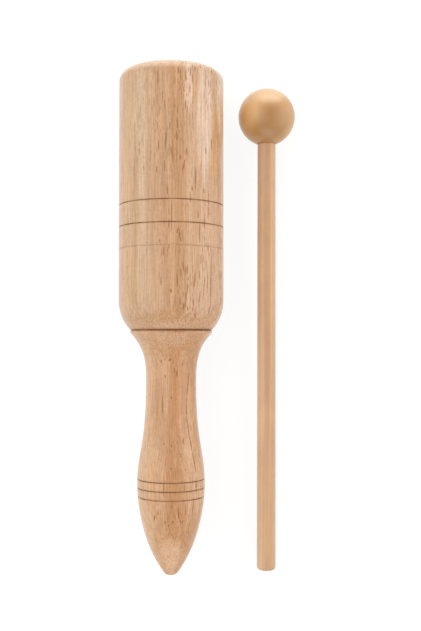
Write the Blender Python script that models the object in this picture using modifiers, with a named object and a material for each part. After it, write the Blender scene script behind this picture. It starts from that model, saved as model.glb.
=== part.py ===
"""Wooden agogo: a hollow turned tone block glued on a turned handle, and its ball-ended beater.

Metres, +Z up. Both lie on a table at Z = 0, side by side along Y, with the block's open mouth
and the beater's ball at the +Y end. The origin is the middle of the set, on the table.

Every piece is turned wood, so each one is a half outline of (radius, station) points. Stations
run along the piece's own axis: from the seam between barrel and handle on the block, and from
the ball's centre on the beater. A Screw modifier turns the outline round that axis.
"""

import math

import bpy
from mathutils import Matrix, Vector

MM = 0.001

# Seam between barrel and handle, whose outsides meet flush there
SEAM_RADIUS = 17.5 * MM
SEAM_CHAMFER = 0.35 * MM

# Tone barrel, measured up from the seam
BARREL_RADIUS = 22.5 * MM
BARREL_LENGTH = 111.2 * MM
MOUTH_ROUNDING = 4.5 * MM
SHOULDER_HEIGHT = 12.7 * MM
BARREL_FIRST_LINE = 34.4 * MM
BARREL_LINE_PITCH = 9.4 * MM

# Sound chamber, drilled from the mouth with a flat-bottomed bit that leaves its centre mark
CHAMBER_WALL = 6.5 * MM
CHAMBER_BASE = 31.2 * MM
CHAMBER_EDGE_BREAK = 0.3 * MM
CENTRE_MARK_RADIUS = 1.6 * MM
CENTRE_MARK_DEPTH = 1.4 * MM

# Handle, measured down from the seam
HANDLE_LENGTH = 104.0 * MM
COLLAR_LAND = 0.9 * MM
WAIST_FROM_SEAM = 22.4 * MM
WAIST_RADIUS = 10.75 * MM
SWELL_FROM_TIP = 38.4 * MM
SWELL_RADIUS = 14.45 * MM
HANDLE_FIRST_LINE_ABOVE_SWELL = 2.3 * MM
HANDLE_LINE_PITCH = 3.7 * MM
TIP_FLAT_RADIUS = 1.9 * MM
TIP_ROUNDING = 1.0 * MM
TIP_HALF_ANGLE = math.radians(37.6)

# Share of its stretch for which a curve of the handle keeps to its tangent at each end
COVE_HOLD = 1.0 / 3.0
WAIST_HOLD = 0.616
SWELL_HOLD_ABOVE = 0.32
SWELL_HOLD_BELOW = 0.23
TIP_HOLD = 0.32

# Glue joint between handle and barrel
TENON_RADIUS = 8.0 * MM
TENON_LENGTH = 18.0 * MM
TENON_CHAMFER = 1.0 * MM

# Burnt lines, six alike
LINE_COUNT = 3
LINE_WIDTH = 0.5 * MM
LINE_DEPTH = 0.4 * MM

# Beater, measured from the ball's centre to the butt of the stick
BALL_RADIUS = 12.5 * MM
BEATER_LENGTH = 201.5 * MM
STICK_HEAD_RADIUS = 4.0 * MM
STICK_BUTT_RADIUS = 4.2 * MM
STICK_END_PAST_CENTRE = 3.0 * MM
STICK_END_CHAMFER = 0.5 * MM
HOLE_EDGE_BREAK = 0.3 * MM
BUTT_ROUNDING = 1.3 * MM

# Glue film between pieces
GLUE_GAP = 0.3 * MM

# How the two lie on the table
BALL_TO_BARREL = 6.8 * MM
BUTT_BEYOND_TIP = 2.9 * MM

# Facets round each piece, in multiples of four so that a flat faces the table
BLOCK_FACETS = 48
BEATER_FACETS = 32

# Points along the curves of the outlines
ROUNDING_STEPS = 5
SHOULDER_STEPS = 7
CURVE_STEPS = 9
BALL_STEPS = 16
MERGE_DISTANCE = 0.00001
SHARP_CORNER = math.radians(32.0)


def arc(centre, radius, start, end, steps):
    """Points (radius, station) on an arc; angle 0 points outwards and 90 degrees towards the mouth."""
    points = []
    for step in range(steps + 1):
        angle = start + (end - start) * step / steps
        points.append((centre[0] + radius * math.cos(angle), centre[1] + radius * math.sin(angle)))
    return points


def fair_curve(start, start_pull, end_pull, end, steps):
    """Cubic curve from start to end that leaves and arrives towards its two pull points."""
    points = []
    for step in range(steps + 1):
        t = step / steps
        u = 1.0 - t
        weights = (u * u * u, 3.0 * u * u * t, 3.0 * u * t * t, t * t * t)
        ends = (start, start_pull, end_pull, end)
        points.append(tuple(sum(w * p[axis] for w, p in zip(weights, ends)) for axis in (0, 1)))
    return points


def radius_at(outline, station):
    """Radius of the outer outline, which runs from the mouth end down, at a station."""
    for upper, lower in zip(outline, outline[1:]):
        if upper[1] >= station >= lower[1] and upper[1] > lower[1]:
            share = (upper[1] - station) / (upper[1] - lower[1])
            return upper[0] + (lower[0] - upper[0]) * share
    raise ValueError("the outline does not reach station %.4f" % station)


def with_burnt_line(outline, station):
    """The outer outline with a V pressed in at a station, as a hot wire burns it on the lathe."""
    top = station + LINE_WIDTH / 2.0
    bottom = station - LINE_WIDTH / 2.0
    groove = [
        (radius_at(outline, top), top),
        (radius_at(outline, station) - LINE_DEPTH, station),
        (radius_at(outline, bottom), bottom),
    ]
    above = [point for point in outline if point[1] > top]
    below = [point for point in outline if point[1] < bottom]
    return above + groove + below


def barrel_outline():
    """From the chamber floor up its wall, over the mouth, down the outside and into the socket."""
    bore = BARREL_RADIUS - CHAMBER_WALL
    rounding = min(MOUTH_ROUNDING, CHAMBER_WALL - 2.0 * CHAMBER_EDGE_BREAK)
    inset = BARREL_RADIUS - SEAM_RADIUS
    shoulder_arc_radius = (SHOULDER_HEIGHT ** 2 + inset ** 2) / (2.0 * inset)
    shoulder_angle = math.asin(SHOULDER_HEIGHT / shoulder_arc_radius)
    socket_radius = TENON_RADIUS + GLUE_GAP
    socket_top = TENON_LENGTH + GLUE_GAP
    chamber = [
        (0.0, CHAMBER_BASE - CENTRE_MARK_DEPTH),
        (CENTRE_MARK_RADIUS, CHAMBER_BASE),
        (bore, CHAMBER_BASE),
        (bore, BARREL_LENGTH - CHAMBER_EDGE_BREAK),
        (bore + CHAMBER_EDGE_BREAK, BARREL_LENGTH),
    ]
    mouth_centre = (BARREL_RADIUS - rounding, BARREL_LENGTH - rounding)
    outside = arc(mouth_centre, rounding, math.pi / 2.0, 0.0, ROUNDING_STEPS)
    shoulder_centre = (BARREL_RADIUS - shoulder_arc_radius, SHOULDER_HEIGHT)
    shoulder = arc(shoulder_centre, shoulder_arc_radius, 0.0, -shoulder_angle, SHOULDER_STEPS)
    outside += [point for point in shoulder if point[1] > SEAM_CHAMFER]
    outside.append((radius_at(shoulder, SEAM_CHAMFER), SEAM_CHAMFER))
    for index in range(LINE_COUNT):
        outside = with_burnt_line(outside, BARREL_FIRST_LINE + index * BARREL_LINE_PITCH)
    base = [
        (SEAM_RADIUS - SEAM_CHAMFER, 0.0),
        (socket_radius, 0.0),
        (socket_radius, socket_top),
        (0.0, socket_top),
    ]
    return chamber + outside + base


def handle_outline():
    """From the top of the tenon down it, out along the collar and down the grip to the tip."""
    collar_top = -GLUE_GAP
    cove_top = collar_top - COLLAR_LAND
    cove_pull = COVE_HOLD * (WAIST_FROM_SEAM + cove_top)
    waist = (WAIST_RADIUS, -WAIST_FROM_SEAM)
    swell = (SWELL_RADIUS, SWELL_FROM_TIP - HANDLE_LENGTH)
    grip_length = waist[1] - swell[1]
    tip_centre = (TIP_FLAT_RADIUS, TIP_ROUNDING - HANDLE_LENGTH)
    tip = arc(tip_centre, TIP_ROUNDING, -TIP_HALF_ANGLE, -math.pi / 2.0, ROUNDING_STEPS)
    ogive_length = swell[1] - tip[0][1]
    tip_pull = TIP_HOLD * ogive_length
    tenon = [
        (0.0, TENON_LENGTH),
        (TENON_RADIUS - TENON_CHAMFER, TENON_LENGTH),
        (TENON_RADIUS, TENON_LENGTH - TENON_CHAMFER),
        (TENON_RADIUS, collar_top),
        (SEAM_RADIUS - SEAM_CHAMFER, collar_top),
        (SEAM_RADIUS, collar_top - SEAM_CHAMFER),
    ]
    cove = fair_curve(
        (SEAM_RADIUS, cove_top),
        (WAIST_RADIUS, cove_top - cove_pull),
        (WAIST_RADIUS, waist[1] + cove_pull),
        waist,
        CURVE_STEPS,
    )
    grip = fair_curve(
        waist,
        (WAIST_RADIUS, waist[1] - WAIST_HOLD * grip_length),
        (SWELL_RADIUS, swell[1] + SWELL_HOLD_ABOVE * grip_length),
        swell,
        CURVE_STEPS,
    )
    ogive = fair_curve(
        swell,
        (SWELL_RADIUS, swell[1] - SWELL_HOLD_BELOW * ogive_length),
        (tip[0][0] + tip_pull * math.tan(TIP_HALF_ANGLE), tip[0][1] + tip_pull),
        tip[0],
        CURVE_STEPS,
    )
    outside = cove + grip[1:] + ogive[1:] + tip[1:]
    for index in range(LINE_COUNT):
        above_swell = HANDLE_FIRST_LINE_ABOVE_SWELL - index * HANDLE_LINE_PITCH
        outside = with_burnt_line(outside, swell[1] + above_swell)
    return tenon + outside + [(0.0, -HANDLE_LENGTH)]


def ball_outline():
    """The ball from its top, away from the stick, round to the hole and up to the hole's end."""
    hole_radius = STICK_HEAD_RADIUS + GLUE_GAP
    hole_top = STICK_END_PAST_CENTRE + GLUE_GAP
    mouth_radius = hole_radius + HOLE_EDGE_BREAK
    mouth_angle = -math.acos(mouth_radius / BALL_RADIUS)
    ball = arc((0.0, 0.0), BALL_RADIUS, math.pi / 2.0, mouth_angle, BALL_STEPS)
    mouth_station = ball[-1][1]
    hole = [
        (hole_radius, mouth_station + HOLE_EDGE_BREAK),
        (hole_radius, hole_top),
        (0.0, hole_top),
    ]
    return [(0.0, BALL_RADIUS)] + ball[1:] + hole


def stick_outline():
    """The stick from its end inside the ball down to its rounded butt."""
    shank_bottom = -math.sqrt(BALL_RADIUS ** 2 - STICK_HEAD_RADIUS ** 2)
    butt_centre = (STICK_BUTT_RADIUS - BUTT_ROUNDING, BUTT_ROUNDING - BEATER_LENGTH)
    butt = arc(butt_centre, BUTT_ROUNDING, 0.0, -math.pi / 2.0, ROUNDING_STEPS)
    head = [
        (0.0, STICK_END_PAST_CENTRE),
        (STICK_HEAD_RADIUS - STICK_END_CHAMFER, STICK_END_PAST_CENTRE),
        (STICK_HEAD_RADIUS, STICK_END_PAST_CENTRE - STICK_END_CHAMFER),
        (STICK_HEAD_RADIUS, shank_bottom),
    ]
    return head + butt + [(0.0, -BEATER_LENGTH)]


def beater_slope():
    """Angle at which the beater dips from its ball to its butt when both touch the table."""
    along = BEATER_LENGTH - BUTT_ROUNDING
    across = STICK_BUTT_RADIUS - BUTT_ROUNDING
    drop = BALL_RADIUS - BUTT_ROUNDING
    return math.asin(drop / math.hypot(along, across)) - math.atan2(across, along)


def layout():
    """Centre of the seam and centre of the ball, with the set's middle over the origin."""
    slope = beater_slope()
    butt_reach = (
        (BEATER_LENGTH - BUTT_ROUNDING) * math.cos(slope)
        + (STICK_BUTT_RADIUS - BUTT_ROUNDING) * math.sin(slope)
        + BUTT_ROUNDING
    )
    seam = Vector((0.0, 0.0, BARREL_RADIUS))
    ball = Vector((
        BARREL_RADIUS + BALL_TO_BARREL + BALL_RADIUS,
        butt_reach - HANDLE_LENGTH - BUTT_BEYOND_TIP,
        BALL_RADIUS,
    ))
    far_end = max(BARREL_LENGTH, ball.y + BALL_RADIUS)
    near_end = min(-HANDLE_LENGTH, ball.y - butt_reach)
    left_side = -BARREL_RADIUS
    right_side = ball.x + BALL_RADIUS
    middle = Vector(((left_side + right_side) / 2.0, (near_end + far_end) / 2.0, 0.0))
    return seam - middle, ball - middle


def wood(name, colour, roughness):
    """Lacquered or bare wood of one colour, given as linear red, green and blue."""
    material = bpy.data.materials.new(name)
    material.use_nodes = True
    shader = material.node_tree.nodes["Principled BSDF"]
    shader.inputs["Base Color"].default_value = (*colour, 1.0)
    shader.inputs["Roughness"].default_value = roughness
    shader.inputs["Metallic"].default_value = 0.0
    return material


def turned_piece(name, outline, facets, material, collection):
    """One closed solid: the outline turned round local Z, with flats on its true radius."""
    half_facet = math.pi / facets
    widen = 1.0 / math.cos(half_facet)
    across = Vector((math.cos(half_facet), math.sin(half_facet), 0.0)) * widen
    vertices = [across * radius + Vector((0.0, 0.0, station)) for radius, station in outline]
    edges = [(index, index + 1) for index in range(len(vertices) - 1)]
    mesh = bpy.data.meshes.new(name)
    mesh.from_pydata(vertices, edges, [])
    mesh.materials.append(material)
    piece = bpy.data.objects.new(name, mesh)
    collection.objects.link(piece)
    turning = piece.modifiers.new("turning", "SCREW")
    turning.axis = "Z"
    turning.angle = math.tau
    turning.steps = facets
    turning.render_steps = facets
    turning.use_merge_vertices = True
    turning.merge_threshold = MERGE_DISTANCE
    shade_round(piece)
    return piece


def shade_round(piece):
    """Keep the turned mesh in place of its outline, smooth but for its real corners."""
    graph = bpy.context.evaluated_depsgraph_get()
    mesh = bpy.data.meshes.new_from_object(piece.evaluated_get(graph))
    mesh.name = piece.name
    piece.modifiers.clear()
    piece.data = mesh
    mesh.shade_smooth()
    mesh.set_sharp_from_angle(angle=SHARP_CORNER)


def lay_along_y(thing, place, dip=0.0):
    """Turn local Z to +Y, dipping by an angle towards -Y, and set the place."""
    lie = Matrix.Rotation(dip - math.pi / 2.0, 4, "X")
    thing.matrix_world = Matrix.Translation(place) @ lie


def build():
    """Model the four pieces and put the beater's two on its lift."""
    for old in list(bpy.data.objects):
        bpy.data.objects.remove(old, do_unlink=True)
    collection = bpy.data.collections.new("wooden_agogo")
    bpy.context.scene.collection.children.link(collection)

    barrel_wood = wood("barrel_wood", (0.62, 0.38, 0.20), 0.38)
    handle_wood = wood("handle_wood", (0.60, 0.35, 0.17), 0.38)
    head_wood = wood("beater_head_wood", (0.68, 0.41, 0.18), 0.42)
    stick_wood = wood("beater_stick_wood", (0.66, 0.40, 0.21), 0.45)

    seam, ball = layout()
    barrel = turned_piece("barrel", barrel_outline(), BLOCK_FACETS, barrel_wood, collection)
    handle = turned_piece("handle", handle_outline(), BLOCK_FACETS, handle_wood, collection)
    for piece in (barrel, handle):
        lay_along_y(piece, seam)

    head = turned_piece("beater_head", ball_outline(), BEATER_FACETS, head_wood, collection)
    stick = turned_piece("beater_stick", stick_outline(), BEATER_FACETS, stick_wood, collection)
    lift = bpy.data.objects.new("beater_lift", None)
    collection.objects.link(lift)
    lay_along_y(lift, ball, beater_slope())
    for piece in (head, stick):
        piece.parent = lift


build()
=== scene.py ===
"""Looks of a wooden agogo: a lacquered tone block on a turned handle, and its ball-ended beater.

Metres, +Z up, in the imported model's frame. Every piece is turned wood: its half outline is drawn
by extruding one vertex from point to point, and spun round the piece's own axis. Outline points
are (radius, station); stations run along the axis from the seam between barrel and handle on the
block, and from the ball's centre on the beater. Materials work in millimetres on that same axis.
"""

import logging
import math
from dataclasses import dataclass, field
from enum import Enum
from typing import Optional, Union

import bpy
from mathutils import Matrix, Vector


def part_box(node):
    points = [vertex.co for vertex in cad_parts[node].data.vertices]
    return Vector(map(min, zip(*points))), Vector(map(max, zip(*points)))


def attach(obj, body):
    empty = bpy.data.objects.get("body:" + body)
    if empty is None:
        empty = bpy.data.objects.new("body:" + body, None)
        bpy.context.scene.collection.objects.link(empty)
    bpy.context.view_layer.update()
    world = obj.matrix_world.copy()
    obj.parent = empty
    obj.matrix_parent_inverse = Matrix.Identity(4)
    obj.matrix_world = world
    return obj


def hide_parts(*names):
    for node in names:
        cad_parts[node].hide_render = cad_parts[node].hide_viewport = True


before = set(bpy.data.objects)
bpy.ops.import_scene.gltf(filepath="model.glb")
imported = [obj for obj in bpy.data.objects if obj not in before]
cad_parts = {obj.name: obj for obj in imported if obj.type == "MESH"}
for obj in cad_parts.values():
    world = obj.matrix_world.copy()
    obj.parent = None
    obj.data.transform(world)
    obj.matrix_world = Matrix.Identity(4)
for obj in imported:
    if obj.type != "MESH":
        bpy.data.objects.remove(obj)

MM = 0.001
PER_METRE = 1000.0
MERGE_DISTANCE = 0.000002
SHARP_CORNER = math.radians(38.0)

# Shares of a burnt line's half width and of its depth, from its lip to its middle
GROOVE_SIDE = ((1.0, 0.0), (0.72, 0.12), (0.42, 0.55), (0.12, 0.95))

Point = tuple[float, float]
Outline = list[Point]
Colour = tuple[float, float, float]
Socket = bpy.types.NodeSocket
Value = Union[Socket, float, tuple]

log = logging.getLogger("wooden_agogo")


class Body(Enum):
    """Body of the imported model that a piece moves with."""

    BLOCK = "block"
    BEATER = "beater"


class Wood(Enum):
    """Names of the record's material slots, one for each piece's wood."""

    BARREL = "barrel_wood"
    HANDLE = "handle_wood"
    BALL = "beater_head_wood"
    STICK = "beater_stick_wood"


def arc(centre: Point, radius: float, start: float, end: float, steps: int) -> Outline:
    """Points on an arc; angle 0 points outwards and 90 degrees up the axis.

    Args:
        centre: Radius and station of the arc's centre.
        radius: Radius of the arc.
        start: First angle, in radians.
        end: Last angle, in radians.
        steps: Count of chords.

    Returns:
        The points from start to end.
    """
    points = []
    for step in range(steps + 1):
        angle = start + (end - start) * step / steps
        points.append((centre[0] + radius * math.cos(angle), centre[1] + radius * math.sin(angle)))
    return points


def fair_curve(start: Point, start_pull: Point, end_pull: Point, end: Point, steps: int) -> Outline:
    """Cubic curve that leaves start and arrives at end along two pull points.

    Args:
        start: First point.
        start_pull: Point that the curve leaves towards.
        end_pull: Point that the curve arrives from.
        end: Last point.
        steps: Count of chords.

    Returns:
        The points from start to end.
    """
    points = []
    for step in range(steps + 1):
        t = step / steps
        u = 1.0 - t
        weights = (u * u * u, 3.0 * u * u * t, 3.0 * u * t * t, t * t * t)
        ends = (start, start_pull, end_pull, end)
        points.append(tuple(sum(w * p[side] for w, p in zip(weights, ends)) for side in (0, 1)))
    return points


def straight(start: Point, end: Point, steps: int) -> Outline:
    """Evenly spaced points on a straight run.

    Args:
        start: First point.
        end: Last point.
        steps: Count of chords.

    Returns:
        The points from start to end.
    """
    points = []
    for step in range(steps + 1):
        share = step / steps
        points.append(tuple(a + (b - a) * share for a, b in zip(start, end)))
    return points


def radius_at(outline: Outline, station: float) -> float:
    """Radius of an outer outline, which runs down the axis, at a station.

    Args:
        outline: The outer outline.
        station: Where to read it.

    Returns:
        The radius there.
    """
    for upper, lower in zip(outline, outline[1:]):
        if upper[1] >= station >= lower[1] and upper[1] > lower[1]:
            share = (upper[1] - station) / (upper[1] - lower[1])
            return upper[0] + (lower[0] - upper[0]) * share
    raise ValueError("the outline does not reach station %.4f" % station)


@dataclass(frozen=True)
class Axis:
    """The axis that a piece is turned round, in the frame's metres."""

    origin: Vector
    slope: float = 0.0

    @property
    def along(self) -> Vector:
        """Unit vector up the axis, towards the mouth or the ball."""
        return Vector((0.0, math.cos(self.slope), math.sin(self.slope)))

    @property
    def across(self) -> Vector:
        """Unit vector square to the axis, towards the table, where the spin's first edge hides."""
        return Vector((0.0, math.sin(self.slope), -math.cos(self.slope)))

    def place(self, point: Point) -> Vector:
        """Place of an outline point in the frame."""
        return self.origin + self.along * point[1] + self.across * point[0]


class Lathe:
    """Turns outlines into finished mesh objects."""

    def __init__(self, axis: Axis, steps: int) -> None:
        """Keep the axis and the count of steps round it."""
        self.axis = axis
        self.steps = steps

    def turn(self, name: str, outline: Outline) -> bpy.types.Object:
        """Draw the outline by extruding one vertex, and spin it.

        Args:
            name: Name of the new object.
            outline: Half outline whose first and last points lie on the axis.

        Returns:
            The closed, smooth shaded object, at the origin.
        """
        bpy.ops.object.select_all(action="DESELECT")
        bpy.ops.mesh.primitive_plane_add(size=MM, location=(0.0, 0.0, 0.0))
        piece = bpy.context.object
        piece.name = name
        piece.data.name = name
        bpy.ops.object.mode_set(mode="EDIT")
        bpy.ops.mesh.select_all(action="SELECT")
        bpy.ops.mesh.merge(type="CENTER")
        here = self.axis.place(outline[0])
        bpy.ops.transform.translate(value=here)
        for point in outline[1:]:
            there = self.axis.place(point)
            bpy.ops.mesh.extrude_region_move(TRANSFORM_OT_translate={"value": there - here})
            here = there
        bpy.ops.mesh.select_all(action="SELECT")
        bpy.ops.mesh.spin(
            steps=self.steps,
            angle=math.tau,
            center=self.axis.origin,
            axis=self.axis.along,
        )
        bpy.ops.mesh.select_all(action="SELECT")
        bpy.ops.mesh.remove_doubles(threshold=MERGE_DISTANCE)
        bpy.ops.mesh.normals_make_consistent(inside=False)
        bpy.ops.object.mode_set(mode="OBJECT")
        bpy.ops.object.shade_smooth_by_angle(angle=SHARP_CORNER)
        return piece


@dataclass(frozen=True)
class Groove:
    """A line burnt round a piece by a hot wire: a V with softened lips.

    Darkness is how strong its scorch is, and patchiness how much of that is lost in places.
    """

    station: float
    darkness: float = 0.82
    patchiness: float = 0.5
    width: float = 0.5 * MM
    depth: float = 0.30 * MM

    def cut(self, outline: Outline) -> Outline:
        """Press the line into an outer outline.

        Args:
            outline: Outer outline, which runs down the axis.

        Returns:
            The outline with the line in it.
        """
        half = self.width / 2.0
        places = [(self.station + offset * half, share) for offset, share in GROOVE_SIDE]
        places += [(self.station - offset * half, share) for offset, share in reversed(GROOVE_SIDE)]
        line = [(radius_at(outline, place) - share * self.depth, place) for place, share in places]
        above = [point for point in outline if point[1] > self.station + half]
        below = [point for point in outline if point[1] < self.station - half]
        return above + line + below


@dataclass(frozen=True)
class GrainMark:
    """One dark vessel line seen on the upper side, in millimetres from the axis and its origin."""

    across: float
    along: float
    half_length: float
    half_width: float = 0.28
    lean: float = 0.0
    strength: float = 1.0


@dataclass(frozen=True)
class TonePatch:
    """A soft patch of another colour, in millimetres from the axis and its origin."""

    across: float
    along: float
    half_width: float
    half_length: float
    colour: Colour
    strength: float = 0.7


@dataclass(frozen=True)
class Step:
    """A smooth step from a first to a last value, between a low and a high reading."""

    low: float
    high: float
    first: float = 0.0
    last: float = 1.0


@dataclass(frozen=True)
class Grain:
    """Soft noise drawn out along the grain; across and along are waves a millimetre."""

    across: float
    along: float
    detail: float = 2.0
    roughness: float = 0.5


@dataclass(frozen=True)
class Vessels:
    """Short vessel lines along the grain, which show as dots on end grain.

    Across and along are cells a millimetre, reach is a line's share of its cell, and share is
    the share of cells that hold a line. Inside core, a share of the reach, a line is full.
    """

    across: float
    along: float
    reach: float
    share: float
    core: float = 0.45


class Nodes:
    """Adds nodes to one node tree and links them as it goes."""

    def __init__(self, tree: bpy.types.NodeTree) -> None:
        """Keep the tree."""
        self.tree = tree

    def add(self, kind: str) -> bpy.types.Node:
        """A new node of a kind."""
        return self.tree.nodes.new(kind)

    def plug(self, socket: Socket, value: Value) -> None:
        """Link a socket to another, or set its number.

        Args:
            socket: The input.
            value: An output socket, a number or a tuple of numbers.
        """
        if isinstance(value, bpy.types.NodeSocket):
            self.tree.links.new(value, socket)
        else:
            socket.default_value = value

    def math(self, operation: str, *values: Value, clamp: bool = False) -> Socket:
        """Result of a Math node.

        Args:
            operation: Name of the operation.
            values: Its one to three inputs.
            clamp: Whether the result is held between 0 and 1.

        Returns:
            The result's socket.
        """
        node = self.add("ShaderNodeMath")
        node.operation = operation
        node.use_clamp = clamp
        for socket, value in zip(node.inputs, values):
            self.plug(socket, value)
        return node.outputs[0]

    def times(self, first: Value, second: Value) -> Socket:
        """The product of two values."""
        return self.math("MULTIPLY", first, second)

    def plus(self, first: Value, second: Value) -> Socket:
        """The sum of two values."""
        return self.math("ADD", first, second)

    def times_plus(self, first: Value, second: Value, third: Value) -> Socket:
        """The product of two values, plus a third."""
        return self.math("MULTIPLY_ADD", first, second, third)

    def larger(self, first: Value, second: Value) -> Socket:
        """The larger of two values."""
        return self.math("MAXIMUM", first, second)

    def distance(self, value: Socket, place: float = 0.0) -> Socket:
        """How far a value lies from a place, either way."""
        return self.math("ABSOLUTE", self.math("SUBTRACT", value, place))

    def fade(self, value: Value, step: Step) -> Socket:
        """A smooth step, read at a value.

        Args:
            value: The value that is read.
            step: The step.

        Returns:
            The result's socket.
        """
        node = self.add("ShaderNodeMapRange")
        node.interpolation_type = "SMOOTHSTEP"
        settings = (value, step.low, step.high, step.first, step.last)
        for socket, setting in zip(node.inputs, settings):
            self.plug(socket, setting)
        return node.outputs[0]


class WoodBench(Nodes):
    """Builds the material of one piece of wood, in millimetres on the piece's own axis."""

    def __init__(self, name: str, axis: Axis) -> None:
        """Start the material, whose Principled shader is already in place.

        Args:
            name: Name of the material.
            axis: Axis of the piece.
        """
        self.material = bpy.data.materials.new(name)
        self.material.use_nodes = True
        super().__init__(self.material.node_tree)
        self.shader = self.tree.nodes["Principled BSDF"]
        self.axis = axis
        self.space = self.axis_space()
        sides = self.add("ShaderNodeSeparateXYZ")
        self.plug(sides.inputs[0], self.space)
        self.x, self.y, self.z = sides.outputs

    def axis_space(self) -> Socket:
        """Object coordinates in millimetres: X across, Y along the axis, Z up.

        Returns:
            The vector socket.
        """
        turn = Matrix.Rotation(-self.axis.slope, 3, "X")
        mapping = self.add("ShaderNodeMapping")
        mapping.inputs["Location"].default_value = turn @ self.axis.origin * -PER_METRE
        mapping.inputs["Rotation"].default_value = (-self.axis.slope, 0.0, 0.0)
        mapping.inputs["Scale"].default_value = (PER_METRE, PER_METRE, PER_METRE)
        place = self.add("ShaderNodeTexCoord")
        self.plug(mapping.inputs["Vector"], place.outputs["Object"])
        return mapping.outputs["Vector"]

    def join(self, x: Value, y: Value, z: Value) -> Socket:
        """A vector from three values.

        Args:
            x: Value across.
            y: Value along.
            z: Value up.

        Returns:
            The vector socket.
        """
        node = self.add("ShaderNodeCombineXYZ")
        for socket, value in zip(node.inputs, (x, y, z)):
            self.plug(socket, value)
        return node.outputs[0]

    def drawn_out(self, vector: Socket, across: float, along: float) -> Socket:
        """The vector with each side multiplied by its factor.

        Args:
            vector: The vector.
            across: Factor across the grain.
            along: Factor along the grain.

        Returns:
            The vector socket.
        """
        node = self.add("ShaderNodeVectorMath")
        node.operation = "MULTIPLY"
        self.plug(node.inputs[0], vector)
        node.inputs[1].default_value = (across, along, across)
        return node.outputs[0]

    def noise(self, grain: Grain, vector: Optional[Socket] = None) -> Socket:
        """Soft noise from 0 to 1.

        Args:
            grain: The noise.
            vector: What it is read on, or None for the axis space.

        Returns:
            The value's socket.
        """
        place = self.space if vector is None else vector
        node = self.add("ShaderNodeTexNoise")
        node.inputs["Scale"].default_value = 1.0
        node.inputs["Detail"].default_value = grain.detail
        node.inputs["Roughness"].default_value = grain.roughness
        self.plug(node.inputs["Vector"], self.drawn_out(place, grain.across, grain.along))
        return node.outputs[0]

    def vessels(self, kind: Vessels) -> Socket:
        """Vessel lines scattered over the piece.

        Args:
            kind: Their size and count.

        Returns:
            1 in the lines and 0 outside them.
        """
        node = self.add("ShaderNodeTexVoronoi")
        node.inputs["Scale"].default_value = 1.0
        self.plug(node.inputs["Vector"], self.drawn_out(self.space, kind.across, kind.along))
        pick = self.add("ShaderNodeSeparateColor")
        self.plug(pick.inputs[0], node.outputs["Color"])
        edge = Step(kind.core * kind.reach, kind.reach, 1.0, 0.0)
        chosen = self.math("LESS_THAN", pick.outputs[0], kind.share)
        return self.times(self.fade(node.outputs["Distance"], edge), chosen)

    def ramp(self, value: Value, stops: tuple[tuple[float, Colour], ...]) -> Socket:
        """Colour ramp.

        Args:
            value: Position on the ramp, from 0 to 1.
            stops: Position and linear colour of each stop, in order.

        Returns:
            The colour's socket.
        """
        node = self.add("ShaderNodeValToRGB")
        elements = node.color_ramp.elements
        node.color_ramp.interpolation = "EASE"
        while len(elements) < len(stops):
            elements.new(1.0)
        for element, (position, colour) in zip(elements, stops):
            element.position = position
            element.color = (*colour, 1.0)
        self.plug(node.inputs[0], value)
        return node.outputs[0]

    def blend(self, share: Value, first: Value, second: Value, how: str = "MIX") -> Socket:
        """Mix of two colours.

        Args:
            share: Share of the second colour.
            first: First colour.
            second: Second colour.
            how: Blend type.

        Returns:
            The colour's socket.
        """
        node = self.add("ShaderNodeMix")
        node.data_type = "RGBA"
        node.blend_type = how
        self.plug(node.inputs[0], share)
        sockets = [socket for socket in node.inputs if socket.type == "RGBA"]
        for socket, colour in zip(sockets, (first, second)):
            self.plug(socket, (*colour, 1.0) if isinstance(colour, tuple) else colour)
        return next(socket for socket in node.outputs if socket.type == "RGBA")

    def shaded(self, colour: Value, shade: Socket) -> Socket:
        """The colour made lighter or darker by a factor."""
        return self.blend(1.0, colour, self.join(shade, shade, shade), "MULTIPLY")

    def oval(self, place: Point, reach: Point, lean: float = 0.0) -> Socket:
        """An upright oval, 1 at its middle and 0 at its rim and beyond.

        Args:
            place: Its middle, across and along.
            reach: Its half width and half length.
            lean: Its sideways drift over its half length.

        Returns:
            The value's socket.
        """
        along = self.math("SUBTRACT", self.y, place[1])
        across = self.plus(self.x, self.times_plus(along, -lean / reach[1], -place[0]))
        wide = self.math("POWER", self.math("DIVIDE", across, reach[0]), 2.0)
        long = self.math("POWER", self.math("DIVIDE", along, reach[1]), 2.0)
        return self.math("SUBTRACT", 1.0, self.plus(wide, long), clamp=True)

    def patched(
        self, colour: Socket, patches: tuple[TonePatch, ...], full: float, where: Value
    ) -> Socket:
        """The colour with soft patches of other tones laid over it.

        Args:
            colour: The colour below.
            patches: The patches, in the order in which they are laid.
            full: Reading of an oval from which its patch is at full strength.
            where: 1 where patches show and 0 where they don't.

        Returns:
            The colour's socket.
        """
        for patch in patches:
            oval = self.oval((patch.across, patch.along), (patch.half_width, patch.half_length))
            share = self.times(self.fade(oval, Step(0.0, full, 0.0, patch.strength)), where)
            colour = self.blend(share, colour, patch.colour)
        return colour

    def finish(self, colour: Socket, roughness: Socket, height: Socket) -> None:
        """Give the shader its colour, its roughness and its relief.

        Args:
            colour: Base colour.
            roughness: Roughness.
            height: Relief in millimetres.
        """
        relief = self.add("ShaderNodeBump")
        relief.inputs["Strength"].default_value = 1.0
        relief.inputs["Distance"].default_value = MM
        self.plug(relief.inputs["Height"], height)
        self.plug(self.shader.inputs["Normal"], relief.outputs[0])
        self.plug(self.shader.inputs["Base Color"], colour)
        self.plug(self.shader.inputs["Roughness"], roughness)

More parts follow.
